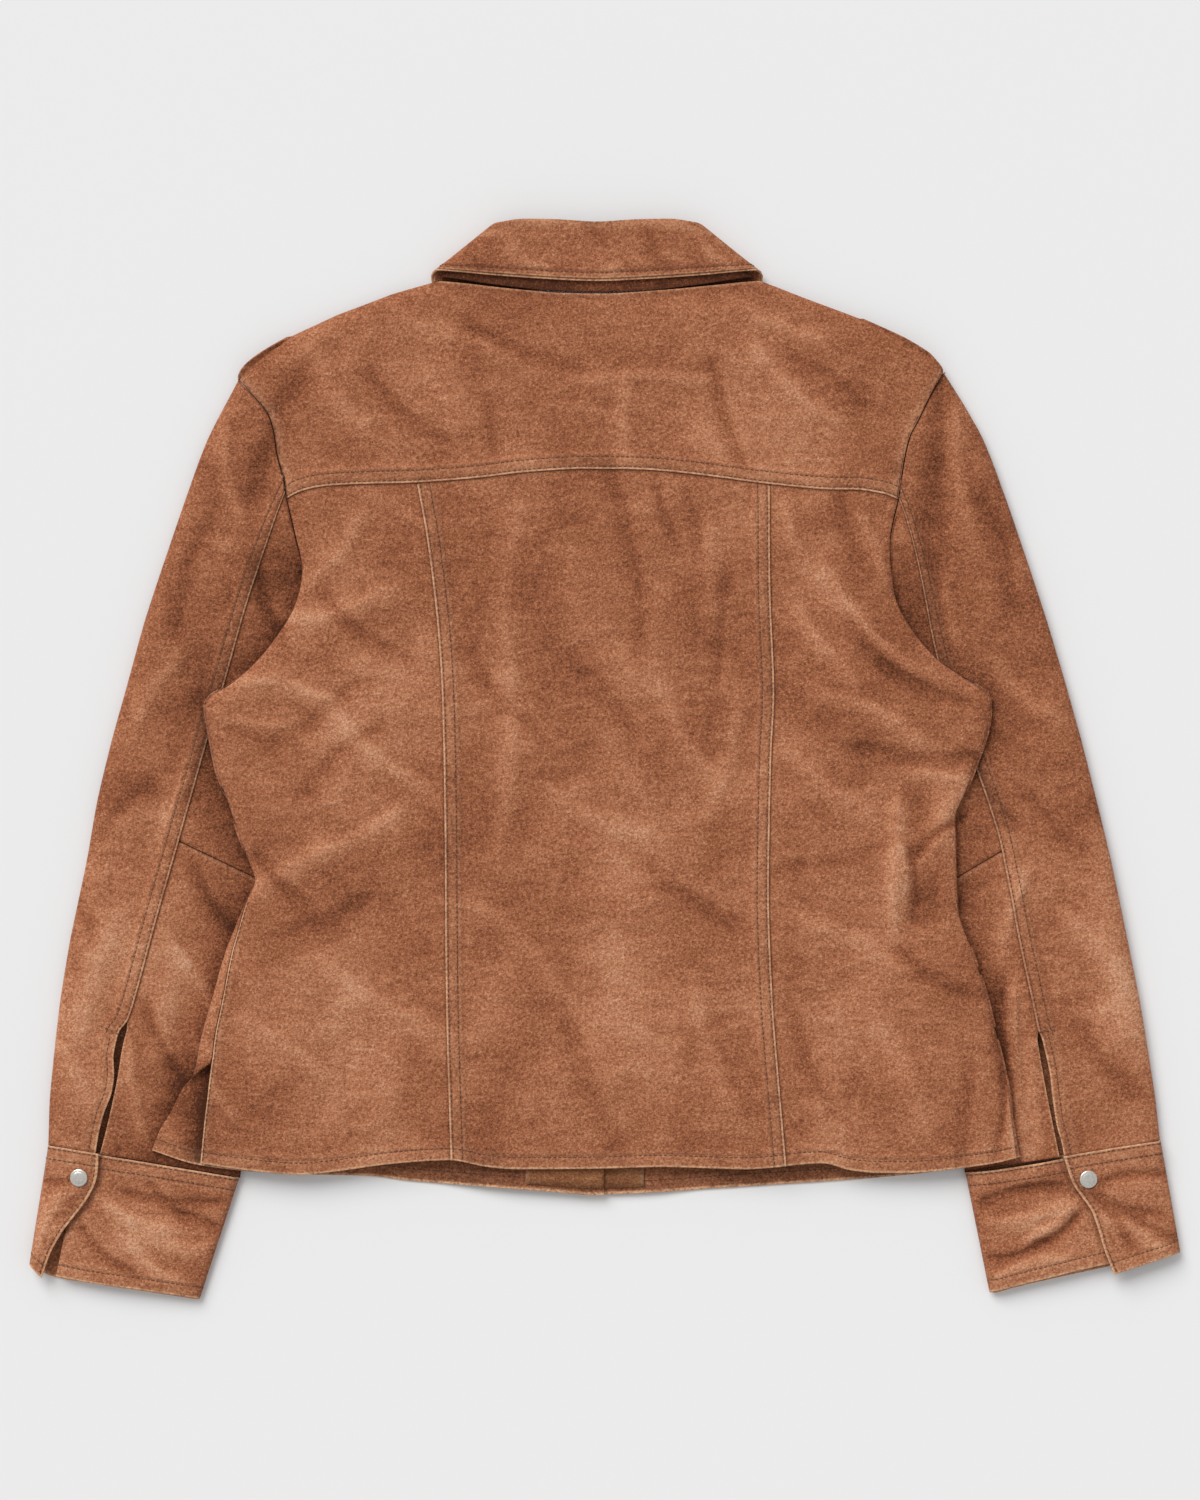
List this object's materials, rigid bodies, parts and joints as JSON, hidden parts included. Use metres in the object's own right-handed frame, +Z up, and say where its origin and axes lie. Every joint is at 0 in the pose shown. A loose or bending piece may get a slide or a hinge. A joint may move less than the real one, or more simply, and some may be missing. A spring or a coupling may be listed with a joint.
{
  "type": "suede jacket",
  "caption": "Women's suede overshirt jacket laid flat on its front, back up, with a folded collar, a yoke, a panelled back and snapped cuffs.",
  "frame": {"origin": "middle of the flat jacket's outline, on the surface that it lies on", "axes": "+X across the jacket from the wearer's left sleeve to the right, +Y from hem to collar, +Z up out of the back"},
  "size_m": [0.7605, 0.7134, 0.0171],
  "materials": {
    "suede": "napped matte",
    "suede_inside": "matte",
    "snap_metal": "satin"
  },
  "bodies": {
    "root": {"back_yoke": "suede", "back_centre_panel": "suede", "back_side_panel_left": "suede", "front_left": "suede", "front_facing_left": "suede_inside", "sleeve_outer_left": "suede", "sleeve_under_upper_left": "suede", "sleeve_under_lower_left": "suede", "cuff_left": "suede", "back_side_panel_right": "suede", "front_right": "suede", "front_facing_right": "suede_inside", "sleeve_outer_right": "suede", "sleeve_under_upper_right": "suede", "sleeve_under_lower_right": "suede", "cuff_right": "suede", "collar_stand": "suede", "collar_fall": "suede", "cuff_snap_left": "snap_metal", "cuff_snap_right": "snap_metal", "front_snap_1": "snap_metal", "front_snap_2": "snap_metal", "front_snap_3": "snap_metal", "front_snap_4": "snap_metal", "front_snap_5": "snap_metal", "front_snap_6": "snap_metal"}
  },
  "joints": []
}
